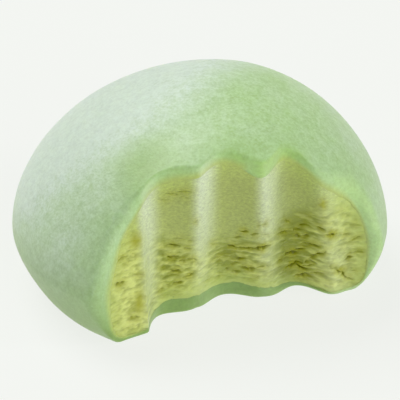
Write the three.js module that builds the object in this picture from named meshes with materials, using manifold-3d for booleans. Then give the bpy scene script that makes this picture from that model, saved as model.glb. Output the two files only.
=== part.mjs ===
// Mochi ice cream with one bite taken out of its front: a ball of ice cream in a soft wrap of
// sweet rice dough, flattened where it stands. Millimetres, +Z up. The origin lies on the resting
// face, straight below the dome's middle. The bite opens towards -Y and a little towards +X.

import * as THREE from "three";
import { mergeVertices } from "three/addons/utils/BufferGeometryUtils.js";
import Module from "manifold-3d";

// ---- Dome: the outside of the whole mochi ----
const DOME_RADIUS = 25;
const WIDEST_HEIGHT = 7.6; // level at which the dome is widest
const CROWN_RISE = 20.7; // from that level up to the top
const CROWN_POWER = 1.86; // 2 would be an ellipse, and less is more pointed
const CROWN_SLANT = 0.062; // share by which the crown stands taller at +X and lower at -X
const BASE_RADIUS = 21.1; // flat foot
const SKIRT_POWER = 1.31; // curve from the foot out to the widest level
const SKIRT_ROUNDING = 0.5; // added to that power for each millimetre inside the surface
const SWELL = 0.18; // height of the slight bumps that shaping by hand leaves
const SWELL_LOBES = 3;
const SWELL_TWIST = 0.15; // radians for each millimetre upwards

// ---- Dough wrap ----
const DOUGH_THICKNESS = 2.1;
const FLOOR_SHARE = { side: 0.3, middle: 1.3 }; // the floor's thickness beside that
const THICK_FLOOR = { from: -11, full: -2.5, fading: 3, to: 15.5 }; // along X
const LIP_RADIUS = 0.7; // rounding of the bitten edge over the crown
const SIDE_LIP_RADIUS = 1.3; // at both sides of the bite
const FOOT_LIP_RADIUS = 0.5; // and below the filling, where the foot pressed it flat
const LIP_LIMIT = 0.6; // the rounding takes at most this share of the edge's width
// Where one rounding turns into the next, as how far sideways and up the edge lies, out of 1.
const SIDE_LIP_ZONE = { from: 0.75, full: 0.95 };
const FOOT_LIP_ZONE = { full: -0.8, to: -0.2 };
const FILLING_GAP = 0.45; // clearance between the dough and the ice cream

// ---- Bite ----
const BITE_TURN = THREE.MathUtils.degToRad(18.2); // the bite's width runs at this angle to +X
const BITE_CENTRE_HEIGHT = 12;
const BITE_HALF_WIDTH = 21; // of the block that the bite takes out of the ice cream
const BITE_FRONT = -30; // and the front of that block, clear of the dome
// Teeth leave upright hollows with crests between them. Each crest has a place along the bite's
// width and a reach from the dome's middle, both at BITE_TOP and then at the base.
const BITE_TOP = 23;
const CRESTS = [
  { along: [-19.5, -18.4], reach: [16.2, 15.5] },
  { along: [-12.1, -11.3], reach: [12.6, 13.5] },
  { along: [-4.5, -3.6], reach: [13.5, 9.85] },
  { along: [3.6, 5.4], reach: [14.6, 10.05] },
  { along: [11.0, 14.4], reach: [15.2, 12.3] },
  { along: [19.4, 21.0], reach: [16.6, 14.9] },
];
// Depth of the hollow after each crest and where across it is deepest, at the same two levels.
const HOLLOWS = [
  { depth: [0.5, 0.2], deepest: [0.5, 0.5] }, // canine
  { depth: [0.8, 2.2], deepest: [0.42, 0.3] }, // lateral incisor
  { depth: [1.45, 2.0], deepest: [0.44, 0.5] }, // central incisor
  { depth: [2.4, 2.55], deepest: [0.54, 0.59] }, // central incisor
  { depth: [1.4, 1.4], deepest: [0.6, 0.51] }, // lateral incisor
];
const ICE_SOFTNESS = 0.3; // how round a crest is: crisp in the ice cream, soft in the dough
const DOUGH_SOFTNESS = 0.9;

// ---- Torn ice cream: flaky ledges with short cracks between them, low on the bitten face ----
const FACE_SET_BACK = 0.35; // the ice cream lies this far behind the dough's edge
const TORN_HEIGHT = 11; // the middle of the face is torn below this height and smooth above it
const TORN_RISE = 0.045; // how fast that height rises away from the middle
const TORN_FADE = 0.7; // share of that height at which the cracks start to fade out
const CRACK_COUNT = 240;
const CRACK_SPREAD = 0.9; // less than 1 gathers the cracks higher up
const CRACK_WAVE = { height: 0.1, turn: 2 }; // and radians for each millimetre along
const CRACK_LENGTH = { min: 1.4, max: 3.2 };
const CRACK_HEIGHT = { min: 0.5, max: 0.8 };
const CRACK_DEPTH = { min: 0.3, max: 0.9 };
const CRACK_SEED = 7;

// ---- Mesh fineness ----
const WRAP_SEGMENTS = 96;
const OUTSIDE_RINGS = 18;
const FOOT_RING = 11; // the one of them that runs round the edge of the foot
const LIP_RINGS = 4;
const EDGE_RINGS = 2;
const INSIDE_RINGS = 19;
const FILLING_SEGMENTS = 60;
const FILLING_RINGS = 12;
const FACE_COLUMNS = 56;
const FACE_ROWS = 44;
const HALVINGS = 40; // steps of each search for a surface
const SEARCH_REACH = 60;

const TOTAL_HEIGHT = WIDEST_HEIGHT + CROWN_RISE;
const UP = new THREE.Vector3(0, 0, 1);
const ALONG = new THREE.Vector3(Math.cos(BITE_TURN), Math.sin(BITE_TURN), 0); // the bite's width
const INWARD = new THREE.Vector3().crossVectors(UP, ALONG); // from the bite towards the back
const BITE_CENTRE = new THREE.Vector3(0, 0, BITE_CENTRE_HEIGHT);
const { clamp, lerp, smoothstep } = THREE.MathUtils;

const wasm = await Module();
wasm.setup();

// Height of the dome's outer or inner floor: the dough below the filling is thickest mid-way.
function floorHeight(x, inset) {
  const rising = smoothstep(x, THICK_FLOOR.from, THICK_FLOOR.full);
  const falling = 1 - smoothstep(x, THICK_FLOOR.fading, THICK_FLOOR.to);
  const dough = Math.min(inset, DOUGH_THICKNESS);
  return dough * lerp(FLOOR_SHARE.side, FLOOR_SHARE.middle, rising * falling) + inset - dough;
}

// Whether a point is inside the dome, or inside the smaller dome that lies inset below its surface.
function insideDome(point, inset) {
  const bearing = Math.atan2(point.y, point.x);
  const swell = SWELL * Math.cos(SWELL_LOBES * bearing + SWELL_TWIST * point.z);
  const radius = Math.hypot(point.x, point.y) - swell;
  const widest = DOME_RADIUS - inset;
  if (point.z >= WIDEST_HEIGHT) {
    const rise = CROWN_RISE * (1 + (CROWN_SLANT * point.x) / DOME_RADIUS) - inset;
    const outward = Math.max(radius, 0) / widest;
    const upward = (point.z - WIDEST_HEIGHT) / rise;
    return outward ** CROWN_POWER + upward ** CROWN_POWER < 1;
  }
  const floor = floorHeight(point.x, inset);
  if (point.z <= floor) return false;
  const drop = (WIDEST_HEIGHT - point.z) / (WIDEST_HEIGHT - floor);
  const power = SKIRT_POWER + SKIRT_ROUNDING * inset;
  const flare = (1 - drop ** power) ** (1 / power);
  return radius < BASE_RADIUS - inset + (DOME_RADIUS - BASE_RADIUS) * flare;
}

// How far along a path, given as a function of distance, the dome's surface is crossed.
function reachOf(pathPoint, inset) {
  let inner = 0;
  let outer = SEARCH_REACH;
  for (let step = 0; step < HALVINGS; step++) {
    const middle = (inner + outer) / 2;
    if (insideDome(pathPoint(middle), inset)) inner = middle;
    else outer = middle;
  }
  return inner;
}

// Depth of a hollow at a share of the way across it, out of 1 at its deepest.
function hollowShape(share, deepest, softness) {
  const arc = Math.sin(Math.PI * share ** (Math.log(0.5) / Math.log(deepest)));
  return (Math.hypot(arc, softness) - softness) / (Math.hypot(1, softness) - softness);
}

// The bitten face, as a distance along INWARD for each place along the bite's width and height.
function biteFace(along, height, softness) {
  const down = 1 - height / BITE_TOP;
  const atLevel = ([top, base]) => lerp(top, base, down);
  const place = clamp(along, atLevel(CRESTS[0].along), atLevel(CRESTS.at(-1).along));
  const next = Math.max(1, CRESTS.findIndex((crest) => place <= atLevel(crest.along)));
  const [left, right] = [CRESTS[next - 1], CRESTS[next]];
  const { depth, deepest } = HOLLOWS[next - 1];
  const start = atLevel(left.along);
  const share = (place - start) / (atLevel(right.along) - start);
  const reach = lerp(atLevel(left.reach), atLevel(right.reach), share);
  return atLevel(depth) * hollowShape(share, atLevel(deepest), softness) - reach;
}

// Level up to which the face is torn, at a place along the bite's width.
function tornLevel(along) {
  return TORN_HEIGHT + TORN_RISE * along ** 2;
}

// The cracks, each with its middle, its half length and half height, and its depth.
function scatterCracks() {
  THREE.MathUtils.seededRandom(CRACK_SEED);
  const pick = ({ min, max }) => lerp(min, max, THREE.MathUtils.seededRandom());
  return Array.from({ length: CRACK_COUNT }, () => {
    const along = pick({ min: -BITE_HALF_WIDTH, max: BITE_HALF_WIDTH });
    const height = tornLevel(along) * pick({ min: 0, max: 1 }) ** CRACK_SPREAD;
    const halfLength = pick(CRACK_LENGTH) / 2;
    const halfHeight = pick(CRACK_HEIGHT) / 2;
    return { along, height, halfLength, halfHeight, depth: pick(CRACK_DEPTH) };
  });
}

// How far the torn ice cream lies behind the smooth face: cracks cut in, and fade out upwards.
function tornRelief(cracks, along, height) {
  const wave = CRACK_WAVE.height * Math.sin(CRACK_WAVE.turn * along);
  let relief = 0;
  for (const crack of cracks) {
    const across = (along - crack.along) / crack.halfLength;
    const up = (height - crack.height - wave) / crack.halfHeight;
    relief = Math.max(relief, crack.depth * Math.exp(-(across ** 4) - up ** 2));
  }
  return relief * (1 - smoothstep(height, TORN_FADE * tornLevel(along), tornLevel(along)));
}

// A point on the bitten face, at a distance from the bite's centre in a direction across the face.
function facePoint(angle, distance, softness = DOUGH_SOFTNESS) {
  const along = Math.cos(angle) * distance;
  const height = BITE_CENTRE_HEIGHT + Math.sin(angle) * distance;
  return new THREE.Vector3(0, 0, height)
    .addScaledVector(ALONG, along)
    .addScaledVector(INWARD, biteFace(along, height, softness));
}

// A point on the dome, seen from the bite's centre: turn is 0 straight to the back.
function domePoint(angle, turn, inset) {
  const direction = new THREE.Vector3()
    .addScaledVector(INWARD, Math.cos(turn))
    .addScaledVector(ALONG, Math.sin(turn) * Math.cos(angle))
    .addScaledVector(UP, Math.sin(turn) * Math.sin(angle));
  const onRay = (distance) => BITE_CENTRE.clone().addScaledVector(direction, distance);
  return onRay(reachOf(onRay, inset));
}

// How far round from the back a point lies.
function turnOf(point) {
  return point.clone().sub(BITE_CENTRE).angleTo(INWARD);
}

// The turns at which a rib crosses the rings over the outside. One ring runs round the edge of the
// foot, which keeps it crisp, and on over the middle of the crown.
function outsideTurns(angle, lipTurn) {
  const down = Math.min(0, Math.sin(angle));
  const slope = ((BASE_RADIUS * down) / BITE_CENTRE_HEIGHT) ** 2 - Math.cos(angle) ** 2;
  const footTurn = Math.atan2(1, Math.sqrt(Math.max(0, slope)));
  const backwards = Array.from({ length: FOOT_RING }, (_, ring) => (footTurn * ring) / FOOT_RING);
  const forwardRings = OUTSIDE_RINGS - FOOT_RING;
  const forwards = Array.from({ length: forwardRings }, (_, ring) =>
    lerp(footTurn, lipTurn, ring / forwardRings),
  );
  return [...backwards, ...forwards];
}

// One rib of the wrap, from the middle of its back over the outside, round the bitten lip,
// across the bitten edge of the dough and back along the inside.
function wrapRib(angle) {
  const onFace = (distance) => facePoint(angle, distance);
  const outerReach = reachOf(onFace, 0);
  const innerReach = reachOf(onFace, DOUGH_THICKNESS);
  const corner = facePoint(angle, outerReach);
  const sideways = smoothstep(Math.abs(Math.cos(angle)), SIDE_LIP_ZONE.from, SIDE_LIP_ZONE.full);
  const aboveFoot = smoothstep(Math.sin(angle), FOOT_LIP_ZONE.full, FOOT_LIP_ZONE.to);
  const radius = lerp(FOOT_LIP_RADIUS, lerp(LIP_RADIUS, SIDE_LIP_RADIUS, sideways), aboveFoot);
  const lipTurn = turnOf(corner) - radius / corner.distanceTo(BITE_CENTRE);
  const lipDepth = Math.min(radius, LIP_LIMIT * (outerReach - innerReach));
  const lipStart = domePoint(angle, lipTurn, 0);
  const lipEnd = facePoint(angle, outerReach - lipDepth);
  const lip = new THREE.QuadraticBezierCurve3(lipStart, corner, lipEnd);
  const innerTurn = turnOf(facePoint(angle, innerReach));
  const rib = outsideTurns(angle, lipTurn).map((turn) => domePoint(angle, turn, 0));
  for (let i = 0; i < LIP_RINGS; i++) rib.push(lip.getPoint(i / LIP_RINGS));
  for (let i = 0; i <= EDGE_RINGS; i++) {
    const distance = lerp(outerReach - lipDepth, innerReach, i / EDGE_RINGS);
    const softness = lerp(DOUGH_SOFTNESS, ICE_SOFTNESS, i / EDGE_RINGS);
    rib.push(facePoint(angle, distance, softness));
  }
  for (let i = INSIDE_RINGS - 1; i >= 0; i--) {
    rib.push(domePoint(angle, (innerTurn * i) / INSIDE_RINGS, DOUGH_THICKNESS));
  }
  return rib;
}

// The wrap is a lathe form round the bite's axis, with each rib then moved to its true place.
function doughWrap() {
  const ringCount = wrapRib(0).length;
  const profile = Array.from({ length: ringCount }, (_, ring) => {
    const onAxis = ring === 0 || ring === ringCount - 1;
    return new THREE.Vector2(onAxis ? 0 : 1, -ring);
  });
  const geometry = new THREE.LatheGeometry(profile, WRAP_SEGMENTS);
  const position = geometry.attributes.position;
  for (let segment = 0; segment <= WRAP_SEGMENTS; segment++) {
    const rib = wrapRib((2 * Math.PI * (segment % WRAP_SEGMENTS)) / WRAP_SEGMENTS);
    rib.forEach(({ x, y, z }, ring) => position.setXYZ(segment * ringCount + ring, x, y, z));
  }
  return geometry;
}

// The unbitten ball of ice cream, turned round the dome's own axis and moved out to its surface.
function fillingBall() {
  const inset = DOUGH_THICKNESS + FILLING_GAP;
  const ringCount = 2 * FILLING_RINGS + 1;
  const profile = Array.from({ length: ringCount }, (_, ring) => {
    const onAxis = ring === 0 || ring === ringCount - 1;
    return new THREE.Vector2(onAxis ? 0 : 1, ring);
  });
  const geometry = new THREE.LatheGeometry(profile, FILLING_SEGMENTS);
  const position = geometry.attributes.position;
  const centre = new THREE.Vector3(0, 0, WIDEST_HEIGHT);
  for (let segment = 0; segment <= FILLING_SEGMENTS; segment++) {
    const bearing = (2 * Math.PI * (segment % FILLING_SEGMENTS)) / FILLING_SEGMENTS;
    for (let ring = 0; ring < ringCount; ring++) {
      const share = ring / (ringCount - 1);
      const direction = new THREE.Vector3(Math.cos(bearing), Math.sin(bearing), 0)
        .multiplyScalar(share > 0 && share < 1 ? Math.sin(Math.PI * share) : 0)
        .addScaledVector(UP, -Math.cos(Math.PI * share));
      const onRay = (distance) => centre.clone().addScaledVector(direction, distance);
      const { x, y, z } = onRay(reachOf(onRay, inset));
      position.setXYZ(segment * ringCount + ring, x, y, z);
    }
  }
  return geometry;
}

// The block that the bite takes away: its back is the bitten face, with the cracks in it.
function biteBlock() {
  const cracks = scatterCracks();
  const width = 2 * BITE_HALF_WIDTH;
  const geometry = new THREE.BoxGeometry(width, 2, TOTAL_HEIGHT, FACE_COLUMNS, 1, FACE_ROWS);
  const position = geometry.attributes.position;
  for (let i = 0; i < position.count; i++) {
    const along = position.getX(i);
    const level = position.getZ(i) + TOTAL_HEIGHT / 2;
    const smooth = biteFace(along, level, ICE_SOFTNESS) + FACE_SET_BACK;
    const face = smooth + tornRelief(cracks, along, level);
    const inward = position.getY(i) > 0 ? face : BITE_FRONT;
    const { x, y } = new THREE.Vector3()
      .addScaledVector(ALONG, along)
      .addScaledVector(INWARD, inward);
    position.setXYZ(i, x, y, level);
  }
  return geometry;
}

function solidOf(geometry) {
  const bare = geometry.clone().deleteAttribute("normal").deleteAttribute("uv");
  const merged = mergeVertices(bare);
  return new wasm.Manifold(
    new wasm.Mesh({
      numProp: 3,
      vertProperties: merged.attributes.position.array,
      triVerts: new Uint32Array(merged.index.array),
    }),
  );
}

function geometryOf(solid) {
  const { vertProperties, triVerts } = solid.getMesh();
  const geometry = new THREE.BufferGeometry();
  geometry.setAttribute("position", new THREE.BufferAttribute(vertProperties, 3));
  geometry.setIndex(new THREE.BufferAttribute(triVerts, 1));
  geometry.computeVertexNormals();
  return geometry;
}

function iceCream() {
  return geometryOf(solidOf(fillingBall()).subtract(solidOf(biteBlock())));
}

function namedMesh(name, geometry, color, roughness) {
  const material = new THREE.MeshStandardMaterial({ color, roughness, metalness: 0 });
  const mesh = new THREE.Mesh(geometry, material);
  mesh.name = name;
  return mesh;
}

const mochi = new THREE.Group();
mochi.name = "mochi";
mochi.add(namedMesh("dough_wrap", doughWrap(), 0xb7d6a9, 0.75));
mochi.add(namedMesh("ice_cream", iceCream(), 0xc9d08a, 0.55));

export default mochi;
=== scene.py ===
"""A mochi ice cream with one bite taken out of it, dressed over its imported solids. Metres, +Z up."""

from math import atan2, cos, exp, pi, radians, sin

import bmesh
import bpy
import numpy as np
from mathutils import Matrix, Vector, noise


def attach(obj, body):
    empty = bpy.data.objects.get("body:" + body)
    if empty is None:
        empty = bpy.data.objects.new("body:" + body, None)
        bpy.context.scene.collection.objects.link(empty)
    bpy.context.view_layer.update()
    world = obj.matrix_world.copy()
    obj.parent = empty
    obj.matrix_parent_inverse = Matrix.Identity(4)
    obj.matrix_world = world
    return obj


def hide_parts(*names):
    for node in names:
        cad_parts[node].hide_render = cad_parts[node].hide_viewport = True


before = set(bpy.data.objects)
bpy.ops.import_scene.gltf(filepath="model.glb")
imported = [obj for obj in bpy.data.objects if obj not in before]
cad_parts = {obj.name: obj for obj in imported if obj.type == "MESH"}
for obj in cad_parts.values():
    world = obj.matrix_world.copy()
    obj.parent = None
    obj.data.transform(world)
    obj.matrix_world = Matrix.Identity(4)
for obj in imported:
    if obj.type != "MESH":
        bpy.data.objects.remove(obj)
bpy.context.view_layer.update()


# ---------------------------------------------------------------------------------------------
# Rice dough wrap: a sheet of steamed, pounded rice dough about 2 mm thick, pinched shut under a
# ball of ice cream. It settles into a dome with a flat foot. Teeth cut it cleanly, and the cut
# edge then draws back into a smooth round lip.

MM = 0.001
# The dome: a crown above its widest level, slanted up to the right, and a skirt that curves in below
# it to the flat foot.
DOME_RADIUS = 25 * MM
WIDEST_HEIGHT = 7.6 * MM
CROWN_RISE = 20.7 * MM
CROWN_POWER = 1.86
CROWN_SLANT = 0.062
BASE_RADIUS = 21.1 * MM
SKIRT_POWER = 1.31
SKIRT_ROUNDING = 1.05
SWELL = 0.18 * MM # the dome isn't quite round: it swells in lobes, which turn a little on the way up
SWELL_LOBES = 3
SWELL_TWIST = 0.15 / MM
DOUGH_THICKNESS = 2.1 * MM
FLOOR_SHARE = (0.3, 1.3) # the floor's thickness beside the rest: at the sides and mid-way
THICK_FLOOR = {"from": -7.5 * MM, "full": -3.5 * MM, "fading": 4 * MM, "to": 15.5 * MM}
# The lip's radius, at a crest and where a tooth pressed the dough down, and at the bite's sides and
# foot. Here and below, a zone is where something comes in round the bite: from and to a cosine, to
# the right, or a sine, upwards.
LIP_RADIUS = (0.4 * MM, 0.9 * MM)
SIDE_LIP_RADIUS = 1.35 * MM
SIDE_LIP_ZONE = (0.75, 0.95)
FOOT_LIP_RADIUS = 0.55 * MM
FOOT_LIP_ZONE = (-0.8, -0.2)
LIP_LIMIT = 0.6 # the lip takes up this much of the cut edge at most
# Past the lip the cut edge stands proud of the ice cream's face, and then sinks behind it, further
# where the dough was drawn over it. These shares are of the way across the edge.
EDGE_PROUD = 0.015 * MM
EDGE_PROUD_BY = 0.6
EDGE_SINK = 0.10 * MM
EDGE_SINKS_FROM = 0.75
DRAWN_SINK = 0.15
# Where the dough was drawn over the ice cream, as a turn round the bite from its right, how far, and
# how clean of starch that left it. As it gets cleaner, over CLEAN_BAND, it loses its smear too.
DRAWN_OVER = [
    {"turn": radians(70), "half_width": radians(13), "by": 1.3 * MM, "clean": 0.8},
    {"turn": radians(183), "half_width": radians(12), "by": 0.9 * MM, "clean": 0},
    {"turn": radians(205), "half_width": radians(12), "by": 0.6 * MM, "clean": 0},
]
CLEAN_BAND = (0.2, 0.6)
# Across the bitten edge the dough changes in bands: -1 is BARE_BAND before the lip, 0 the lip's
# start, 0.5 its end and 1 the edge of the ice cream. Ice cream is smeared on it from further out at
# the top than at the sides, and not at all at the foot.
BARE_BAND = 5 * MM
SMEAR_FROM = 0.55
TOP_SMEAR_FROM = 0.45
TOP_SMEAR_ZONE = (0, 0.5)
LEFT_SMEAR_ZONE = (-0.9, -0.5) # the top's smear ends here, on the left
FOOT_SMEAR_FROM = 1.2
FOOT_SMEAR_ZONE = (-0.9, -0.6)
SMEAR_FADE = 0.45
BARED_BAND = (-0.1, 0.5)
BARED_ZONE = (-0.3, 0.1)

BITE_TURN = radians(18.2)
BITE_CENTRE_HEIGHT = 12 * MM
BITE_TOP = 23 * MM
# Each crest between two teeth: its place along the bite and its reach, and how strong the painted
# sheen is to the right of it, each at BITE_TOP and at the base. The painted sheen is full between
# the shares in CREST_TOP of the way across the next hollow, and ends at the share given here.
CRESTS = [
    {"along": (-19.5, -18.4), "reach": (16.2, 15.5), "painted_sheen": (0, 0), "ends": 0.45},
    {"along": (-12.1, -11.3), "reach": (12.6, 13.5), "painted_sheen": (1.05, 0.6), "ends": 0.45},
    {"along": (-4.5, -3.6), "reach": (13.5, 9.85), "painted_sheen": (1.2, 0.2), "ends": 0.45},
    {"along": (3.6, 5.4), "reach": (14.6, 10.05), "painted_sheen": (1, 0.3), "ends": 0.6},
    {"along": (11.0, 14.4), "reach": (15.2, 12.3), "painted_sheen": (0.15, 0.6), "ends": 0.75},
    {"along": (19.4, 21.0), "reach": (16.6, 14.9), "painted_sheen": (0, 0), "ends": 0.45},
]
CREST_TOP = (0.06, 0.1)
# The hollow after each crest: its depth and where across it is deepest, at the same two levels, and
# how bare of starch the tooth left the dough above it, most of all right of the middle.
HOLLOWS = [
    {"depth": (0.5, 0.2), "deepest": (0.5, 0.5), "bared": 0.1},
    {"depth": (0.8, 2.2), "deepest": (0.42, 0.3), "bared": 0.45},
    {"depth": (1.45, 2.0), "deepest": (0.44, 0.5), "bared": 0.8},
    {"depth": (2.4, 2.55), "deepest": (0.54, 0.59), "bared": 0.8},
    {"depth": (1.4, 1.4), "deepest": (0.6, 0.51), "bared": 0.5},
]
BARED_SKEW = 1.8
ICE_SOFTNESS = 0.3 # how round a crest is: crisp in the ice cream, soft in the stretchy dough
DOUGH_SOFTNESS = 0.9

RIBS = 480
OUTSIDE_RINGS = 84
LIP_RINGS = 14
EDGE_RINGS = 14
INSIDE_RINGS = 26
MERGE_DISTANCE = 1e-4
FARTHEST = 60 * MM # beyond the dome in every direction
HALVINGS = 40

SHARP_ANGLE = radians(55)
UP = np.array([0.0, 0.0, 1.0])
ALONG = np.array([cos(BITE_TURN), sin(BITE_TURN), 0.0])
INWARD = np.cross(UP, ALONG)
BITE_CENTRE = BITE_CENTRE_HEIGHT * UP


def smoothstep(value, start, end):
    share = np.clip((value - start) / (end - start), 0, 1)
    return share * share * (3 - 2 * share)


def lerp(start, end, share):
    return start + (end - start) * share


def floor_height(x, inset):
    """Height of the dome's outer or inner floor: the dough below the filling is thickest mid-way."""
    rising = smoothstep(x, THICK_FLOOR["from"], THICK_FLOOR["full"])
    falling = 1 - smoothstep(x, THICK_FLOOR["fading"], THICK_FLOOR["to"])
    return inset * lerp(*FLOOR_SHARE, rising * falling)


def inside_dome(points, inset):
    """Which points lie inside the dome, or inside the smaller dome inset below its surface."""
    x, y, z = points[..., 0], points[..., 1], points[..., 2]
    swell = SWELL * np.cos(SWELL_LOBES * np.arctan2(y, x) + SWELL_TWIST * z)
    radius = np.hypot(x, y) - swell
    rise = CROWN_RISE * (1 + CROWN_SLANT * x / DOME_RADIUS) - inset
    outward = np.maximum(radius, 0) / (DOME_RADIUS - inset)
    upward = np.maximum(z - WIDEST_HEIGHT, 0) / rise
    in_crown = outward**CROWN_POWER + upward**CROWN_POWER < 1
    floor = floor_height(x, inset)
    drop = np.clip((WIDEST_HEIGHT - z) / (WIDEST_HEIGHT - floor), 0, 1)
    power = SKIRT_POWER + SKIRT_ROUNDING * inset / MM
    flare = (1 - drop**power) ** (1 / power)
    in_skirt = radius < BASE_RADIUS - inset + (DOME_RADIUS - BASE_RADIUS) * flare
    return np.where(z >= WIDEST_HEIGHT, in_crown, in_skirt & (z > floor))


def reach_of(path_point, count, inset):
    """How far along each of count paths, given as a function of distance, the dome's surface lies."""
    inner, outer = np.zeros(count), np.full(count, FARTHEST)
    for _ in range(HALVINGS):
        middle = (inner + outer) / 2
        inside = inside_dome(path_point(middle), inset)
        inner, outer = np.where(inside, middle, inner), np.where(inside, outer, middle)
    return inner


def hollow_shape(share, deepest, softness):
    """Depth of a hollow at a share of the way across it, out of 1 at its deepest."""
    arc = np.sin(pi * np.clip(share, 0, 1) ** (np.log(0.5) / np.log(deepest)))
    return (np.hypot(arc, softness) - softness) / (np.hypot(1, softness) - softness)


def bite_face(along, height, softness=ICE_SOFTNESS):
    """The bitten face, as a distance along INWARD, at places along the bite's width and height."""
    down = 1 - height / BITE_TOP
    crest_along = [lerp(*crest["along"], down) * MM for crest in CRESTS]
    crest_reach = [lerp(*crest["reach"], down) * MM for crest in CRESTS]
    place = np.clip(along, crest_along[0], crest_along[-1])
    face = np.zeros_like(place)
    for i, hollow in enumerate(HOLLOWS):
        share = (place - crest_along[i]) / (crest_along[i + 1] - crest_along[i])
        shape = hollow_shape(share, lerp(*hollow["deepest"], down), softness)
        depth = lerp(*hollow["depth"], down) * MM * shape
        reach = lerp(crest_reach[i], crest_reach[i + 1], share)
        face = np.where((share >= 0) & (share <= 1), depth - reach, face)
    return face


def bared_dough(along, height):
    """How bare of starch the teeth left the dough, at places along the bite's width and height."""
    down = 1 - height / BITE_TOP
    bared = np.zeros_like(along)
    for hollow, crest, next_crest in zip(HOLLOWS, CRESTS, CRESTS[1:]):
        start, end = (lerp(*each["along"], down) * MM for each in (crest, next_crest))
        share = np.clip((along - start) / (end - start), 0, 1)
        bared += hollow["bared"] * np.sin(pi * share**BARED_SKEW) ** BARED_SKEW
    return bared


def crest_sheen(along, height, shoulder):
    """The painted sheen: strongest on the side of each crest that faces right, fading to 0 past it. It
    also fades to the left of the crest, over a shoulder given as a share of the hollow's width."""
    down = 1 - height / BITE_TOP
    sheen = np.zeros_like(along)
    for crest, next_crest in zip(CRESTS, CRESTS[1:]):
        start, end = (lerp(*each["along"], down) * MM for each in (crest, next_crest))
        share = (along - start) / (end - start)
        side = smoothstep(share, -shoulder, CREST_TOP[0])
        side *= 1 - smoothstep(share, CREST_TOP[1], crest["ends"])
        sheen = np.maximum(sheen, lerp(*crest["painted_sheen"], down) * side)
    return sheen


def face_point(angle, distance, softness=DOUGH_SOFTNESS):
    """A point on the bitten face, at a distance from the bite's centre, in a direction across it."""
    along = np.cos(angle) * distance
    height = BITE_CENTRE_HEIGHT + np.sin(angle) * distance
    face = bite_face(along, height, softness)
    return along[..., None] * ALONG + face[..., None] * INWARD + height[..., None] * UP


def dome_point(angle, turn, inset):
    """A point on the dome, seen from the bite's centre: turn is 0 straight to the back."""
    turned = np.sin(turn)
    direction = (
        np.cos(turn)[..., None] * INWARD
        + (turned * np.cos(angle))[..., None] * ALONG
        + (turned * np.sin(angle))[..., None] * UP
    )

    def on_ray(distance):
        return BITE_CENTRE + distance[..., None] * direction

    return on_ray(reach_of(on_ray, angle.shape, inset))


def turn_of(points):
    """How far round from the back, seen from the bite's centre, each point lies."""
    offset = points - BITE_CENTRE
    return np.arccos(offset @ INWARD / np.linalg.norm(offset, axis=-1))


def wrap_ribs(angle):
    """The wrap's ribs, one for each angle: out over the back, round the lip and back inside. The
    second array says where each point lies across the bitten edge, from -1 to 1, the third how
    much ice cream is smeared over it, and the fourth how bare of starch it is."""
    rightward, upward = np.cos(angle), np.sin(angle)
    outer_reach = reach_of(lambda distance: face_point(angle, distance), angle.shape, 0)
    inner_reach = reach_of(lambda distance: face_point(angle, distance), angle.shape, DOUGH_THICKNESS)
    corner = face_point(angle, outer_reach)
    bared = bared_dough(rightward * outer_reach, BITE_CENTRE_HEIGHT + upward * outer_reach)
    at_side = smoothstep(np.abs(rightward), *SIDE_LIP_ZONE)
    radius = lerp(lerp(*LIP_RADIUS, bared), SIDE_LIP_RADIUS, at_side)
    radius = lerp(FOOT_LIP_RADIUS, radius, smoothstep(upward, *FOOT_LIP_ZONE))
    lip_turn = turn_of(corner) - radius / np.linalg.norm(corner - BITE_CENTRE, axis=-1)
    lip_depth = np.minimum(radius, LIP_LIMIT * (outer_reach - inner_reach))
    lip_start = dome_point(angle, lip_turn, 0)
    lip_end = face_point(angle, outer_reach - lip_depth)
    inner_turn = turn_of(face_point(angle, inner_reach))
    at_top = smoothstep(upward, *TOP_SMEAR_ZONE) * smoothstep(rightward, *LEFT_SMEAR_ZONE)
    smear_from = lerp(SMEAR_FROM, TOP_SMEAR_FROM, at_top)
    smear_from = lerp(FOOT_SMEAR_FROM, smear_from, smoothstep(upward, *FOOT_SMEAR_ZONE))
    bared *= smoothstep(upward, *BARED_ZONE)
    drawn, clean = np.zeros((2, len(angle)))
    for each in DRAWN_OVER:
        share = np.exp(-(((angle - each["turn"]) / each["half_width"]) ** 2))
        drawn += each["by"] * share
        clean += each["clean"] * share
    bared = np.maximum(bared, clean)
    edge_reach = inner_reach - drawn
    rings, cut = [], []
    for share in np.arange(OUTSIDE_RINGS) / OUTSIDE_RINGS:
        rings.append(dome_point(angle, lip_turn * share, 0))
        cut.append(np.maximum(-1, -np.linalg.norm(rings[-1] - lip_start, axis=-1) / BARE_BAND))
    for share in np.arange(LIP_RINGS) / LIP_RINGS:
        early, late = lerp(lip_start, corner, share), lerp(corner, lip_end, share)
        rings.append(lerp(early, late, share))
        cut.append(np.full(angle.shape, 0.5 * share))
    for share in np.linspace(0, 1, EDGE_RINGS):
        distance = lerp(outer_reach - lip_depth, edge_reach, share)
        softness = lerp(DOUGH_SOFTNESS, ICE_SOFTNESS, smoothstep(share, 0, EDGE_SINKS_FROM))
        proud = EDGE_PROUD * smoothstep(share, 0, EDGE_PROUD_BY)
        sink = lerp(-proud, EDGE_SINK + DRAWN_SINK * drawn, smoothstep(share, EDGE_SINKS_FROM, 1))
        rings.append(face_point(angle, distance, softness) + sink[:, None] * INWARD)
        cut.append(np.full(angle.shape, 0.5 + 0.5 * share))
    for share in 1 - np.arange(1, INSIDE_RINGS + 1) / INSIDE_RINGS:
        rings.append(dome_point(angle, inner_turn * share, DOUGH_THICKNESS))
        cut.append(np.ones(angle.shape))
    cut = np.array(cut)
    smear = smoothstep(cut, smear_from, smear_from + SMEAR_FADE)
    smear *= 1 - smoothstep(clean, *CLEAN_BAND)
    return np.array(rings), cut, smear, bared * smoothstep(cut, *BARED_BAND)


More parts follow.
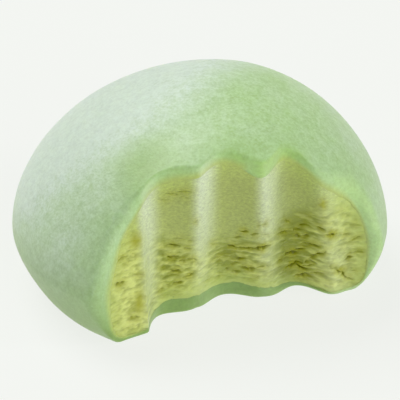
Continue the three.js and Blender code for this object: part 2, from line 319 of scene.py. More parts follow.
def lathe(ring_count, segments):
    """A closed form turned round Z from a zigzag profile, one unit of height for each ring."""
    form = bmesh.new()
    poles = (0, ring_count - 1)
    profile = [form.verts.new((0 if i in poles else 1, 0, -i)) for i in range(ring_count)]
    edges = [form.edges.new(pair) for pair in zip(profile, profile[1:])]
    bmesh.ops.spin(
        form,
        geom=profile + edges,
        cent=(0, 0, 0),
        axis=(0, 0, 1),
        angle=2 * pi,
        steps=segments,
        use_merge=True,
    )
    bmesh.ops.remove_doubles(form, verts=form.verts, dist=MERGE_DISTANCE)
    return form


def finish_mesh(form, name):
    """Turns a finished bmesh into an object that is smooth-shaded and faces outwards."""
    bmesh.ops.recalc_face_normals(form, faces=form.faces)
    mesh = bpy.data.meshes.new(name)
    form.to_mesh(mesh)
    form.free()
    mesh.shade_smooth()
    mesh.set_sharp_from_angle(angle=SHARP_ANGLE)
    piece = bpy.data.objects.new(name, mesh)
    bpy.context.scene.collection.objects.link(piece)
    return piece


def mark(piece, name, values):
    """Stores one number for each vertex, for the piece's material to read."""
    piece.data.attributes.new(name, "FLOAT", "POINT").data.foreach_set("value", values)


# Hands and cold leave shallow dents all over the dome. They only go inwards, and the foot is flat.
DENTS = [{"size": 12 * MM, "depth": 0.2 * MM}, {"size": 4.5 * MM, "depth": 0.06 * MM}]
# A finger left a shallow groove across the top of the front.
GROOVE = [
    (4.2, -3.0, 28.0), (2.0, -6.0, 27.5), (-1.2, -8.0, 26.9), (-4.4, -9.9, 25.6), (-7.2, -12.1, 23.7),
]
GROOVE_WIDTH = 3 * MM
GROOVE_DEPTH = 0.3 * MM
DENTS_BAND = (-0.4, 0.3) # dents and groove end over this band of the bitten edge
# The painted sheen on each crest goes on over the cut edge: how much of it, near the foot and above
# that, over which band, and how much less there is where the dough is bare.
EDGE_SHEEN = (0.25, 0.3)
EDGE_SHEEN_HEIGHT = (2 * MM, 5 * MM)
EDGE_SHEEN_BAND = (0.1, 0.6)
EDGE_SHOULDER = 0.05
BARE_SHEEN_LOSS = 0.7

ring_count = OUTSIDE_RINGS + LIP_RINGS + EDGE_RINGS + INSIDE_RINGS
wrap_form = lathe(ring_count, RIBS)
rib_angles = 2 * pi * np.arange(RIBS) / RIBS
rib_points, cut_share, smear_share, bared_share = wrap_ribs(rib_angles)
sheen_share = crest_sheen(rib_points @ ALONG, rib_points[..., 2], EDGE_SHOULDER)
sheen_share *= smoothstep(cut_share, *EDGE_SHEEN_BAND) * (1 - BARE_SHEEN_LOSS * bared_share)
sheen_share *= lerp(*EDGE_SHEEN, smoothstep(rib_points[..., 2], *EDGE_SHEEN_HEIGHT))
shares = {"cut": cut_share, "smear": smear_share, "bared": bared_share, "sheen": sheen_share}
values = {name: [] for name in shares}
for vert in wrap_form.verts:
    ring = round(-vert.co.z)
    rib = round(atan2(vert.co.y, vert.co.x) / (2 * pi) * RIBS) % RIBS
    point = Vector(rib_points[ring, rib])
    if ring < OUTSIDE_RINGS + LIP_RINGS:
        before_lip = float(1 - smoothstep(cut_share[ring, rib], *DENTS_BAND))
        outward = before_lip * (point - Vector(BITE_CENTRE)).normalized()
        for dent in DENTS:
            point -= outward * dent["depth"] * (0.5 + 0.5 * noise.noise(point / dent["size"]))
        for middle in GROOVE:
            distance = (point - Vector(middle) * MM).length
            point -= outward * GROOVE_DEPTH * exp(-((distance / GROOVE_WIDTH) ** 2))
        point.z = max(point.z, 0)
    vert.co = point
    for name, share in shares.items():
        values[name].append(share[ring, rib])
wrap = finish_mesh(wrap_form, "rice_dough_wrap")
for name in shares:
    mark(wrap, name, values[name])
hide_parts("dough_wrap")
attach(wrap, "root")


def linear(hex_colour):
    """An sRGB hex colour as the linear RGBA that a shader socket holds."""
    channels = [int(hex_colour[i : i + 2], 16) / 255 for i in (1, 3, 5)]
    return [c / 12.92 if c <= 0.04045 else ((c + 0.055) / 1.055) ** 2.4 for c in channels] + [1.0]


def add_node(tree, kind, settings=None, inputs=None):
    """Adds a node. An input is a number, a colour or the output socket that feeds it."""
    node = tree.nodes.new("ShaderNode" + kind)
    for name, value in (settings or {}).items():
        setattr(node, name, value)
    for name, value in (inputs or {}).items():
        if isinstance(value, bpy.types.NodeSocket):
            tree.links.new(value, node.inputs[name])
        else:
            node.inputs[name].default_value = value
    return node


def new_material(name):
    """An empty material and its node tree."""
    material = bpy.data.materials.new(name)
    material.use_nodes = True
    material.node_tree.nodes.clear()
    return material, material.node_tree


def finish_material(tree, shader):
    tree.links.new(shader.outputs[0], tree.nodes.new("ShaderNodeOutputMaterial").inputs["Surface"])


# Steamed glutinous-rice dough, rolled out and dusted with potato starch. Light goes a few
# millimetres into it, so it glows softly. The starch leaves a pale matt bloom with a fine grain;
# towards the key light at the upper left it is paler still, partly as a painted highlight. Where
# teeth bared the dough it is greener and a little glossy. Towards the foot it has less starch and
# painted shade, and beside the bite at its upper left it has less starch and painted shade. The thin
# lip at the right is painted paler where light shines through it, and the crests' painted sheen runs
# on over the cut edge.
DOUGH_GREEN = "#b9dc96"
DOUGH_BARE_GREEN = "#b6dc7c"
# A darker green painted as the shade beside the bite at its upper left
DOUGH_PATCH_SHADE_GREEN = "#9cc06c"
# A darker green painted as shade towards the foot, on the dome and on the cut edge
DOUGH_FOOT_SHADE_GREEN = "#8fb05e"
# Painted light: a paler green where light shines through the thin lip at the right
DOUGH_LIT_THROUGH = "#d3f0ae"
# The starch's white, also used as a painted highlight on the side towards the key light
STARCH_AND_HIGHLIGHT_WHITE = "#dcedda"
ICE_CREAM_BY_WRAP = "#c3d573"
# The colour of the painted sheen, on the crests and on the cut edge beside them
ICE_CREAM_PAINTED_SHEEN = "#e0ecca"
STARCH_GRAIN = 0.34 * MM
STARCH_CLUMP = 0.95 * MM
STARCH_PATCH = 7 * MM
SMEAR_FRAYS = 2 * MM
STARCH_AND_HIGHLIGHT_SIDE = (-0.545, 0.432, 0.719) # towards the side that lay in the starch and faces the key light: the starch there is also a painted highlight
STARCH_AND_HIGHLIGHT_FROM = 16.5 * MM # how far out in that direction the starch and its painted highlight start, and are full
STARCH_AND_HIGHLIGHT_FULL = 25 * MM
# Painted shade beside the bite at its upper left: a darker green, with less starch
SHADE_PATCH_PLACE = (-7.2 * MM, -13.2 * MM, 22.8 * MM) # beside the bite at its upper left
SHADE_PATCH_RADIUS = 6 * MM
# Below this height the starch thins and painted shade darkens the dough towards the foot
FOOT_STARCH_AND_SHADE_HEIGHT = 14 * MM

dough, tree = new_material("steamed_rice_dough")
place = add_node(tree, "TexCoord").outputs["Object"]
cut, smear, bared, sheen = (
    add_node(tree, "Attribute", {"attribute_name": name}).outputs["Fac"] for name in shares
)
grain, clump, patch, fray = (
    add_node(
        tree, "TexNoise", inputs={"Vector": place, "Scale": 1 / size, "Detail": 3, "Roughness": 0.6}
    ).outputs["Fac"]
    for size in (STARCH_GRAIN, STARCH_CLUMP, STARCH_PATCH, SMEAR_FRAYS)
)
axes = add_node(tree, "SeparateXYZ", inputs={"Vector": place}).outputs
outward, off_shade_patch = (
    add_node(tree, "VectorMath", {"operation": operation}, {0: place, 1: vector}).outputs["Value"]
    for operation, vector in (("DOT_PRODUCT", STARCH_AND_HIGHLIGHT_SIDE), ("DISTANCE", SHADE_PATCH_PLACE))
)
frayed = add_node(
    tree,
    "MapRange",
    inputs={"Value": fray, "From Min": 0.3, "From Max": 0.7, "To Min": -0.2, "To Max": 0.2},
).outputs["Result"]
frayed_cut = add_node(tree, "Math", {"operation": "ADD"}, {0: cut, 1: frayed}).outputs[0]
# What adds starch, with a painted highlight towards the key light, and then what leaves only a share of it:
# the lip, teeth, the foot, where painted shade goes with it, and the painted shade beside the bite.
# Each is a value, where it starts and ends, and the starch or share at each end.
STARCH_AND_PAINTED_LIGHT_CAUSES = [
    ("ADD", outward, STARCH_AND_HIGHLIGHT_FROM, STARCH_AND_HIGHLIGHT_FULL, 0.0, 1.0),
    ("ADD", axes["X"], -20 * MM, 4 * MM, 0.7, 0.2),
    ("ADD", patch, 0.3, 0.7, -0.15, 0.15),
    ("ADD", clump, 0.35, 0.65, -0.1, 0.1),
    ("ADD", grain, 0.35, 0.65, -0.14, 0.14),
    ("MULTIPLY", frayed_cut, -0.8, 0.6, 1.0, 0.35),
    ("MULTIPLY", bared, 0.0, 0.9, 1.0, 0.0),
    ("MULTIPLY", axes["Z"], 0.0, FOOT_STARCH_AND_SHADE_HEIGHT, 0.25, 1.0),
    ("MULTIPLY", off_shade_patch, 1 * MM, SHADE_PATCH_RADIUS, 0.3, 1.0),
]
starch_and_highlight = 0.0
for operation, value, start, end, least, most in STARCH_AND_PAINTED_LIGHT_CAUSES:
    amount = add_node(
        tree,
        "MapRange",
        inputs={"Value": value, "From Min": start, "From Max": end, "To Min": least, "To Max": most},
    ).outputs["Result"]
    starch_and_highlight = add_node(
        tree,
        "Math",
        {"operation": operation, "use_clamp": operation == "MULTIPLY"},
        {0: starch_and_highlight, 1: amount},
    ).outputs[0]
# Painted shade: darker green towards the foot, and beside the bite at its upper left.
foot_shade, patch_shade = (
    add_node(
        tree,
        "MapRange",
        {"interpolation_type": "SMOOTHSTEP"},
        {"Value": value, "From Min": 0.0, "From Max": end, "To Min": most, "To Max": 0.0},
    ).outputs["Result"]
    for value, end, most in ((axes["Z"], FOOT_STARCH_AND_SHADE_HEIGHT, 0.8), (off_shade_patch, SHADE_PATCH_RADIUS, 0.6))
)
# The cut edge gets painted shade near the foot and is painted paler at the right, where light shines through
# it, and only the rest of the dough gets the painted shade beside the bite.
cut_edge = add_node(
    tree, "MapRange", inputs={"Value": cut, "From Min": -0.1, "From Max": 0.3}
).outputs["Result"]
edge_foot_shade, lit_through = (
    add_node(
        tree,
        "MapRange",
        inputs={"Value": value, "From Min": start, "From Max": end, "To Min": least, "To Max": most},
    ).outputs["Result"]
    for value, start, end, least, most in (
        (axes["Z"], 2.2 * MM, 3.6 * MM, 1.0, 0.0),
        (axes["X"], 14 * MM, 20 * MM, 0.0, 0.45),
    )
)
uncut = add_node(tree, "Math", {"operation": "SUBTRACT"}, {0: 1.0, 1: cut_edge}).outputs[0]
edge_foot_shade, lit_through, patch_shade = (
    add_node(tree, "Math", {"operation": "MULTIPLY"}, {0: share, 1: part}).outputs[0]
    for share, part in ((edge_foot_shade, cut_edge), (lit_through, cut_edge), (patch_shade, uncut))
)
colour = linear(DOUGH_GREEN)
# Painted light and shade among these layers: the highlight in the starch, the shade beside the bite, the
# shade towards the foot, the light through the right lip and the crests' sheen.
DOUGH_LAYERS = [
    (bared, linear(DOUGH_BARE_GREEN)),
    (starch_and_highlight, linear(STARCH_AND_HIGHLIGHT_WHITE)),
    (patch_shade, linear(DOUGH_PATCH_SHADE_GREEN)),
    (foot_shade, linear(DOUGH_FOOT_SHADE_GREEN)),
    (edge_foot_shade, linear(DOUGH_FOOT_SHADE_GREEN)),
    (lit_through, linear(DOUGH_LIT_THROUGH)),
    (smear, linear(ICE_CREAM_BY_WRAP)),
    (sheen, linear(ICE_CREAM_PAINTED_SHEEN)),
]
for share, layer in DOUGH_LAYERS:
    colour = add_node(tree, "Mix", {"data_type": "RGBA"}, {0: share, 6: colour, 7: layer}).outputs[2]
grain_height = add_node(tree, "Math", {"operation": "ADD"}, {0: grain, 1: clump}).outputs[0]
grainy = add_node(
    tree,
    "MapRange",
    inputs={
        "Value": grain_height, "From Min": 0.75, "From Max": 1.25, "To Min": 0.93, "To Max": 1.07,
    },
).outputs["Result"]
colour = add_node(tree, "VectorMath", {"operation": "SCALE"}, {0: colour, "Scale": grainy}).outputs["Vector"]
roughness = add_node(
    tree, "MapRange", inputs={"Value": starch_and_highlight, "To Min": 0.4, "To Max": 0.6}
).outputs["Result"]
bump = add_node(
    tree, "Bump", inputs={"Height": grain_height, "Strength": 0.5, "Distance": 0.12 * MM}
).outputs["Normal"]
shader = add_node(
    tree,
    "BsdfPrincipled",
    inputs={
        "Base Color": colour,
        "Roughness": roughness,
        "Normal": bump,
        "IOR": 1.45,
        "Subsurface Weight": 0.7,
        "Subsurface Scale": 0.8 * MM,
        "Subsurface Radius": (1.0, 1.0, 0.7),
        "Sheen Weight": 0.12,
        "Sheen Roughness": 0.5,
    },
)
finish_material(tree, shader)
wrap.data.materials.append(dough)


# ---------------------------------------------------------------------------------------------
# Ice cream: a scoop pressed into the wrap and frozen hard. Front teeth slid down its upper part
# and left it smooth. Lower down it broke away in flakes, with short cracks between them.

FILLING_INSET = 1.75 * MM
FACE_HALF_WIDTH = 20.6 * MM
FACE_FROM = -1 * MM
FACE_TO = 26.5 * MM
FACE_COLUMNS = 340
FACE_ROWS = 250
BALL_SEGMENTS = 160
BLOCK_DEPTH = 1.2 * DOME_RADIUS
FACE_RIM = 0.8 * MM # how near the wrap the torn relief fades out
GREEN_DEPTH = 3 * MM # how far in the wrap's green shows
DEPTH_STEPS = 16
# The face starts to be torn at TORN_HEIGHT and is fully torn at TORN_FULL, both higher towards its
# ends. A crest is less torn where it carries the painted sheen, by SMEAR_SPARES, above the heights in
# SMEAR_HOLDS.
TORN_HEIGHT = 12.5 * MM
TORN_FULL = 7.5 * MM
TORN_RISE = 0.034 / MM
SMEAR_HOLDS = (1 * MM, 7 * MM)
SMEAR_SPARES = 0.7
ICE_SHOULDER = 0.17 # how far left of a crest its painted sheen goes, as a share of the hollow's width
# The deep cracks: place along the bite, height, length and opening in mm, depth out of 1 and tilt.
DEEP_CRACKS = [
    (-14.8, 12.4, 1.3, 0.31, 0.50, -0.00), (-15.3, 8.8, 1.2, 0.39, 0.70, -0.02),
    (-12.4, 9.1, 1.4, 0.39, 0.50, -0.44), (-13.3, 3.1, 1.3, 0.31, 0.50, -0.44),
    (-13.2, 12.4, 1.2, 0.31, 0.30, -0.44), (-7.1, 11.2, 1.4, 0.39, 0.70, -0.16),
    (-5.4, 10.6, 0.9, 0.31, 0.49, -0.06), (-8.6, 11.3, 1.0, 0.23, 0.33, 0.09),
    (-7.3, 9.2, 1.2, 0.46, 0.74, -0.25), (-5.8, 8.6, 1.3, 0.39, 0.57, 0.20),
    (-4.5, 8.6, 1.2, 0.39, 0.49, -0.41), (-6.6, 6.9, 1.3, 0.46, 0.74, -0.10),
    (-4.9, 6, 1.2, 0.46, 0.74, 0.29), (-6.3, 5, 1.1, 0.46, 0.70, 0.29),
    (-7.4, 4.7, 1.2, 0.46, 0.41, -0.07), (-8.7, 4.3, 0.9, 0.31, 0.41, 0.16),
    (-6.3, 12.3, 1.5, 0.23, 0.29, -0.11), (-5.1, 11.9, 0.8, 0.31, 0.33, -0.07),
    (-8.6, 7.9, 1.2, 0.31, 0.33, -0.21), (-1.5, 9.9, 1.3, 0.31, 0.41, -0.47),
    (-4.5, 15, 0.7, 0.23, 0.40, 0.07), (-0.3, 7.1, 0.8, 0.31, 0.49, -0.31),
    (0.5, 7.1, 0.7, 0.46, 0.33, -0.16), (1.4, 8.7, 1.2, 0.45, 0.80, -0.45),
    (2.8, 8.7, 1.8, 0.45, 0.70, 0.21), (4.8, 9, 1.6, 0.71, 1.00, 0.11),
    (2.5, 6.6, 0.9, 0.45, 0.80, 0.19), (1.6, 5.7, 0.8, 0.53, 0.60, 0.33),
    (2, 4.2, 0.7, 0.53, 0.60, -0.21), (1.1, 4.6, 0.8, 0.31, 0.41, -0.08),
    (3.5, 5.1, 1.3, 0.71, 0.80, 0.08), (2.4, 11.6, 0.9, 0.36, 0.80, -0.04),
    (1.8, 10.5, 0.7, 0.36, 0.50, 0.13), (3.9, 12.9, 0.7, 0.26, 0.50, -0.07),
    (4.9, 13.1, 0.9, 0.26, 0.50, 0.03), (3.7, 11.4, 0.9, 0.36, 0.60, 0.30),
    (5, 11.2, 1.8, 0.22, 0.35, -0.43), (4.9, 5.6, 1.8, 0.26, 0.50, -0.09),
    (4.2, 3.6, 1.1, 0.36, 0.40, 0.71), (8.2, 9.9, 2.3, 0.40, 0.55, -0.28),
    (10, 9, 0.7, 0.51, 0.70, 0.10), (10.9, 9.2, 0.6, 0.60, 0.90, 0.46),
    (9.9, 10.1, 0.7, 0.40, 0.60, 0.12), (10.7, 11, 0.7, 0.60, 0.75, 0.46),
    (8.5, 11.6, 1.1, 0.30, 0.50, -0.53), (10.9, 12.8, 0.7, 0.30, 0.40, 0.60),
    (11.7, 8, 1.3, 0.60, 0.80, 0.33), (10.7, 6.7, 1.0, 0.60, 0.90, 0.40),
    (9.7, 6, 1.5, 0.81, 1.00, -0.00), (12.4, 6.4, 1.4, 0.60, 0.90, 1.42),
    (11.8, 6, 0.7, 0.51, 0.70, 0.22), (10, 4, 1.6, 0.60, 0.90, 0.28),
    (11, 3.5, 1.4, 0.70, 1.00, -0.54), (11.7, 4.1, 0.8, 0.40, 0.80, 0.71),
    (11.6, 4.7, 0.8, 0.40, 0.70, 0.50), (12.1, 5, 0.5, 0.81, 0.70, -0.46),
    (11.4, 2.2, 1.7, 0.60, 0.90, 0.29), (12.6, 3.1, 1.7, 0.51, 0.60, 0.71),
    (7.9, 5.5, 0.8, 0.60, 0.50, -0.07), (12.3, 11.4, 0.8, 0.51, 0.70, -0.44),
    (13.7, 10.3, 1.5, 0.39, 1.00, -0.25), (15.8, 9.7, 1.2, 0.31, 0.50, -0.26),
    (16.6, 5.7, 0.7, 0.46, 0.80, 0.34), (17.1, 8.8, 1.6, 0.23, 0.50, 0.52),
    (17.8, 6.6, 1.9, 0.23, 0.50, 0.12), (15.6, 3.4, 2.7, 0.46, 0.70, -0.95),
    (14.3, 4.7, 0.9, 0.23, 0.50, -0.71), (16.9, 11.1, 1.3, 0.23, 0.40, -0.16),
    (17.6, 3.4, 1.2, 0.19, 0.40, -0.10), (-7.6, 19.6, 1.7, 0.23, 0.40, -0.08),
    (-6.1, 19.9, 1.6, 0.25, 0.45, 0.06), (-8.5, 18.8, 1.5, 0.19, 0.30, -0.27),
    (-6.1, 19.1, 1.5, 0.19, 0.25, -0.12),
]
DEEPEST_CRACK = 0.45 * MM
# Between them, one small crack in each cell of a loose grid over the torn part, none quite alike.
CRACKS_FROM = 0.5 * MM
CRACK_CELL = {"along": 2.0 * MM, "up": 1.05 * MM}
CRACK_LENGTH = (0.6 * MM, 1.8 * MM)
CRACK_OPENING = (0.15 * MM, 0.3 * MM)
CRACK_DEPTH = (0.05, 0.32)
CRACK_SKEW = 1.6 # above 1, small cracks outnumber large ones
CRACK_TILT = 0.15
CRACK_SEED = 11
# A crack tapers to its tips, and its lower wall slopes more gently than its upper one.
CRACK_TAPER = 1.6
TAPER_POWER = 1.5
TIP_OPENING = 0.3
LOWER_SLOPE = 0.6
WALL_WIDTH = 1.2
CRACK_SHADE_FROM = 0.15 # how open a crack is where its painted shade starts
# Its edges wander along and up, each by how far, over which width and rise, and in which layer of
# noise. It opens and closes between two shares, round a mean one.
RAGGED_ALONG = [(0.4 * MM, 0.8 * MM, 0.8 * MM, 1)]
RAGGED_UP = [(0.2 * MM, 0.6 * MM, 0.7 * MM, 2), (0.12 * MM, 0.25 * MM, 0.5 * MM, 4)]
UNEVEN = {"mean": 0.8, "by": 0.9, "least": 0.2, "most": 1.5, "size": 0.4 * MM, "layer": 5}
# Painted shade lies round each crack, and olive patches lie in the torn part: place along the bite,
# height, half-width and half-height in mm.
HALO_SHADE_SPREAD = 0.75 * MM
HALO_SHADE_TAPER = 2
OLIVE_PATCHES = [
    (-12.6, 5.0, 0.75, 1.5), (-12.9, 14.2, 0.8, 1.0), (12.1, 15.6, 0.5, 0.9), (15.4, 3.9, 1.0, 0.5),
]
OLIVE_STAIN = 0.9
OLIVE_SPREAD = 1.2
# Flakes between the cracks, flatter than wide, with finer ones on them: how many times finer, and
# their share of the depth.
FLAKE_SIZE = 1.6 * MM
FLAKE_DEPTH = 0.3 * MM
FLAKE_FLATNESS = 2.2
FLAKE_LAYER = 3
FLAKE_STEEPNESS = 0.6
FINER_FLAKES = [(2.1, 0.6), (4.3, 0.35), (8.7, 0.12)]
FINER_FLATNESS = 2
# Painted light and shade on the torn ice cream at places along the bite, in mm: paler on the crests, darker
# in the deeper hollows. High flakes are painted paler and low ones darker, by the last number.
CRUMB_LIGHT_ALONG = [-17, -12, -8, -3.7, 0.4, 4.5, 9.3, 13.3, 17]
CRUMB_LIGHT = [0.87, 0.83, 0.29, 0.74, 0.06, 0.6, -0.24, 0.78, 0.7]
FLAKE_LIGHT_CONTRAST = 1.3


def noise_at(along, height, width, rise, layer):
    """Smooth noise, about -1 to 1, with features of a width and a rise. Each layer is another one."""
    places = zip(along / width, height / rise, np.full(along.shape, layer))
    return np.array([noise.noise(Vector(place)) for place in places])


def torn_share(along, height):
    """How torn the face is: 0 on the smooth part and 1 well below the level where it broke."""
    rise = TORN_RISE * along**2
    low = 1 - smoothstep(height, TORN_FULL + rise, TORN_HEIGHT + rise)
    painted_sheen = crest_sheen(along, height, ICE_SHOULDER) * smoothstep(height, *SMEAR_HOLDS)
    return low * (1 - SMEAR_SPARES * painted_sheen)


def all_cracks():
    """Each crack's middle, level, length, opening, depth and tilt: the deep ones, then the small."""
    for along, height, length, opening, depth, tilt in DEEP_CRACKS:
        yield along * MM, height * MM, length * MM, opening * MM, depth, tilt
    draw = np.random.default_rng(CRACK_SEED)
    for level in np.arange(CRACKS_FROM, BITE_TOP, CRACK_CELL["up"]):
        for place in np.arange(-FACE_HALF_WIDTH, FACE_HALF_WIDTH, CRACK_CELL["along"]):
            along = place + CRACK_CELL["along"] * draw.uniform()
            height = level + CRACK_CELL["up"] * draw.uniform()
            torn = torn_share(np.array(along), np.array(height))
            size = torn * draw.uniform() ** CRACK_SKEW
            tilt = draw.normal(0, CRACK_TILT)
            kept = draw.uniform()
            if kept < torn:
                length = lerp(*CRACK_LENGTH, size)
                yield along, height, length, lerp(*CRACK_OPENING, size), lerp(*CRACK_DEPTH, size), tilt


def torn_relief(along, height, face_share):
    """How far the torn face lies behind the smooth one, the painted shade in and round its cracks with its
    olive patches, and its painted light and shade.
    """
    torn = torn_share(along, height) * face_share
    ragged_along = along + sum(by * noise_at(along, height, *rest) for by, *rest in RAGGED_ALONG)
    ragged_up = height + sum(by * noise_at(along, height, *rest) for by, *rest in RAGGED_UP)
    uneven = UNEVEN["by"] * noise_at(along, height, UNEVEN["size"], UNEVEN["size"], UNEVEN["layer"])
    uneven = np.clip(UNEVEN["mean"] + uneven, UNEVEN["least"], UNEVEN["most"])
    opened, halo_shade_and_olive = np.zeros((2, len(along)))
    for middle, level, length, opening, depth, tilt in all_cracks():
        across = (ragged_along - middle) / length
        above = ragged_up - level - tilt * (ragged_along - middle)
        taper = np.clip(1 - CRACK_TAPER * across**2, 0, 1) ** TAPER_POWER
        half = 0.5 * opening * lerp(TIP_OPENING, 1, taper) * uneven
        away = np.where(above > 0, above, -LOWER_SLOPE * above)
        shape = np.sqrt(taper) * (1 - smoothstep(away, 0, WALL_WIDTH * half))
        opened = np.maximum(opened, depth * shape)
        around = np.exp(-HALO_SHADE_TAPER * across**2 - (above / (half + HALO_SHADE_SPREAD)) ** 2)
        halo_shade_and_olive = np.maximum(halo_shade_and_olive, depth * around)
    for middle, level, half_width, half_height in OLIVE_PATCHES:
        across = (ragged_along / MM - middle) / half_width
        above = (ragged_up / MM - level) / half_height
        around = np.exp(-((np.hypot(across, above) / OLIVE_SPREAD) ** 2))
        halo_shade_and_olive = np.maximum(halo_shade_and_olive, OLIVE_STAIN * around)
    flakes = noise_at(along, height, FLAKE_SIZE, FLAKE_SIZE / FLAKE_FLATNESS, FLAKE_LAYER)
    for finer, share in FINER_FLAKES:
        size = FLAKE_SIZE / finer
        flakes += share * noise_at(along, height, size, size / FINER_FLATNESS, finer)
    low = np.clip(0.5 + FLAKE_STEEPNESS * flakes, 0, 1)
    relief = DEEPEST_CRACK * opened * face_share + FLAKE_DEPTH * torn * low
    crumb_light = np.interp(along / MM, CRUMB_LIGHT_ALONG, CRUMB_LIGHT) + FLAKE_LIGHT_CONTRAST * (0.5 - low)
    crack_shade = smoothstep(opened * face_share, CRACK_SHADE_FROM, 1)
    return relief, crack_shade, halo_shade_and_olive * face_share, np.clip(crumb_light, 0, 1)


def moved_out(form, centre, inset):
    """Moves each vertex of a ball straight out from a centre to the dome's inner surface."""
    directions = np.array([vert.co.normalized() for vert in form.verts])

    def on_ray(distance):
        return centre + distance[..., None] * directions

    points = on_ray(reach_of(on_ray, len(directions), inset))
    for vert, point in zip(form.verts, points):
        vert.co = point


def depth_share(points, depth):
    """How deep inside the filling each point lies, out of 1 at the given depth and beyond."""
    steps = np.linspace(0, 1, DEPTH_STEPS)
    return sum(inside_dome(points, FILLING_INSET + depth * step) for step in steps) / len(steps)


ball_form = bmesh.new()
bmesh.ops.create_uvsphere(ball_form, u_segments=BALL_SEGMENTS, v_segments=BALL_SEGMENTS // 2, radius=1)
moved_out(ball_form, WIDEST_HEIGHT * UP, FILLING_INSET)
ice_cream = finish_mesh(ball_form, "ice_cream_filling")

block_form = bmesh.new()
bmesh.ops.create_grid(block_form, x_segments=FACE_COLUMNS, y_segments=FACE_ROWS, size=1)
grid = np.array([vert.co for vert in block_form.verts])
along, height = grid[:, 0] * FACE_HALF_WIDTH, lerp(FACE_FROM, FACE_TO, (grid[:, 1] + 1) / 2)
smooth_face = bite_face(along, height)
spots = along[:, None] * ALONG + smooth_face[:, None] * INWARD + height[:, None] * UP
face = smooth_face + torn_relief(along, height, depth_share(spots, FACE_RIM))[0]
bmesh.ops.extrude_face_region(block_form, geom=block_form.faces[:])
block_form.verts.ensure_lookup_table()
for vert in block_form.verts[len(grid) :]:
    level = lerp(FACE_FROM, FACE_TO, (vert.co.y + 1) / 2)
    vert.co = Vector(vert.co.x * FACE_HALF_WIDTH * ALONG + level * UP - BLOCK_DEPTH * INWARD)
for vert, across, level, depth in zip(block_form.verts[: len(grid)], along, height, face):
    vert.co = Vector(across * ALONG + level * UP + depth * INWARD)
block = finish_mesh(block_form, "bite_block")

bite = ice_cream.modifiers.new("bite", "BOOLEAN")
bite.operation = "DIFFERENCE"
bite.solver = "MANIFOLD"
bite.object = block
bitten = bpy.data.meshes.new_from_object(ice_cream.evaluated_get(bpy.context.evaluated_depsgraph_get()))
ice_cream.modifiers.clear()
ice_cream.data = bitten
ice_cream.data.shade_smooth()
ice_cream.data.set_sharp_from_angle(angle=SHARP_ANGLE)
bpy.data.objects.remove(block)

points = np.array([vert.co for vert in ice_cream.data.vertices])
along, height = points @ ALONG, points[:, 2]
_, crack_shade, halo_shade_and_olive, crumb_light = torn_relief(along, height, depth_share(points, FACE_RIM))
shares = {
    "crack_shade": crack_shade,
    "halo_shade_and_olive": halo_shade_and_olive,
    "torn": torn_share(along, height),
    "crumb_light": crumb_light,
    "sheen": crest_sheen(along, height, ICE_SHOULDER),
    "from_wrap": depth_share(points, GREEN_DEPTH),
}
for name, share in shares.items():
    mark(ice_cream, name, share)
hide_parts("ice_cream")
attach(ice_cream, "root")

# Frozen milk, sugar and air: pale, slightly see-through and matt. Its cracks carry painted shade, a
# deep yellow where light goes round inside the foam, with paler painted shade round them. The torn
# part is painted paler on the crests and darker in the hollows. A painted sheen lies to the right of
# each crest, which the teeth smoothed. Next to the wrap it takes on some of its green, and at the
# right it is painted paler where light shines through the thin lip.
ICE_CREAM_YELLOW = "#b5c26c"
# A shaded and a lit copy of the torn ice cream's colour, for painted light and shade
ICE_CREAM_CRUMB_SHADED = "#8c992a"
ICE_CREAM_CRUMB_LIT = "#dfe98a"
# Painted shade round the cracks, also the colour of the olive patches
ICE_CREAM_HALO_SHADE_AND_OLIVE = "#aaae1c"
# Painted shade in the cracks, a deep yellow where light goes round in the foam
ICE_CREAM_CRACK_SHADE = "#7c8402"
# Painted light: the ice cream near the thin right lip, where light shines through it
ICE_CREAM_LIT_THROUGH = "#e0f58c"
CRUMB_GRAIN = 0.35 * MM
TOOTH_STREAK = 0.25 * MM

foam, tree = new_material("frozen_milk_foam")
place = add_node(tree, "TexCoord").outputs["Object"]
axes = add_node(tree, "SeparateXYZ", inputs={"Vector": place}).outputs
crack_shade, halo_shade_and_olive, torn, crumb_light, sheen, from_wrap = (
    add_node(tree, "Attribute", {"attribute_name": name}).outputs["Fac"] for name in shares
)
layered = add_node(tree, "Mapping", inputs={"Vector": place, "Scale": (1, 1, 2.5)}).outputs["Vector"]
crumb = add_node(
    tree,
    "TexNoise",
    inputs={"Vector": layered, "Scale": 1 / CRUMB_GRAIN, "Detail": 4, "Roughness": 0.6},
).outputs["Fac"]
streaked = add_node(tree, "Mapping", inputs={"Vector": place, "Scale": (0.6, 0.6, 1)}).outputs["Vector"]
streak = add_node(
    tree,
    "TexNoise",
    inputs={"Vector": streaked, "Scale": 1 / TOOTH_STREAK, "Detail": 3, "Roughness": 0.7},
).outputs["Fac"]
# The streaks are clear on the smooth part and faint on the torn one.
darkest, lightest = (
    add_node(
        tree, "MapRange", inputs={"Value": torn, "To Min": on_smooth, "To Max": on_torn}
    ).outputs["Result"]
    for on_smooth, on_torn in ((0.81, 0.95), (1.19, 1.05))
)
streaky = add_node(
    tree,
    "MapRange",
    inputs={
        "Value": streak, "From Min": 0.3, "From Max": 0.7, "To Min": darkest, "To Max": lightest,
    },
).outputs["Result"]
# Painted sheen on the right side of each crest, fainter where the ice cream is torn
torn_less = add_node(
    tree, "MapRange", inputs={"Value": torn, "From Min": 0.2, "To Min": 0.85, "To Max": 0.35}
).outputs["Result"]
painted_sheen = add_node(tree, "Math", {"operation": "MULTIPLY"}, {0: sheen, 1: torn_less}).outputs[0]
by_wrap = add_node(tree, "Math", {"operation": "SUBTRACT"}, {0: 1.0, 1: from_wrap}).outputs[0]
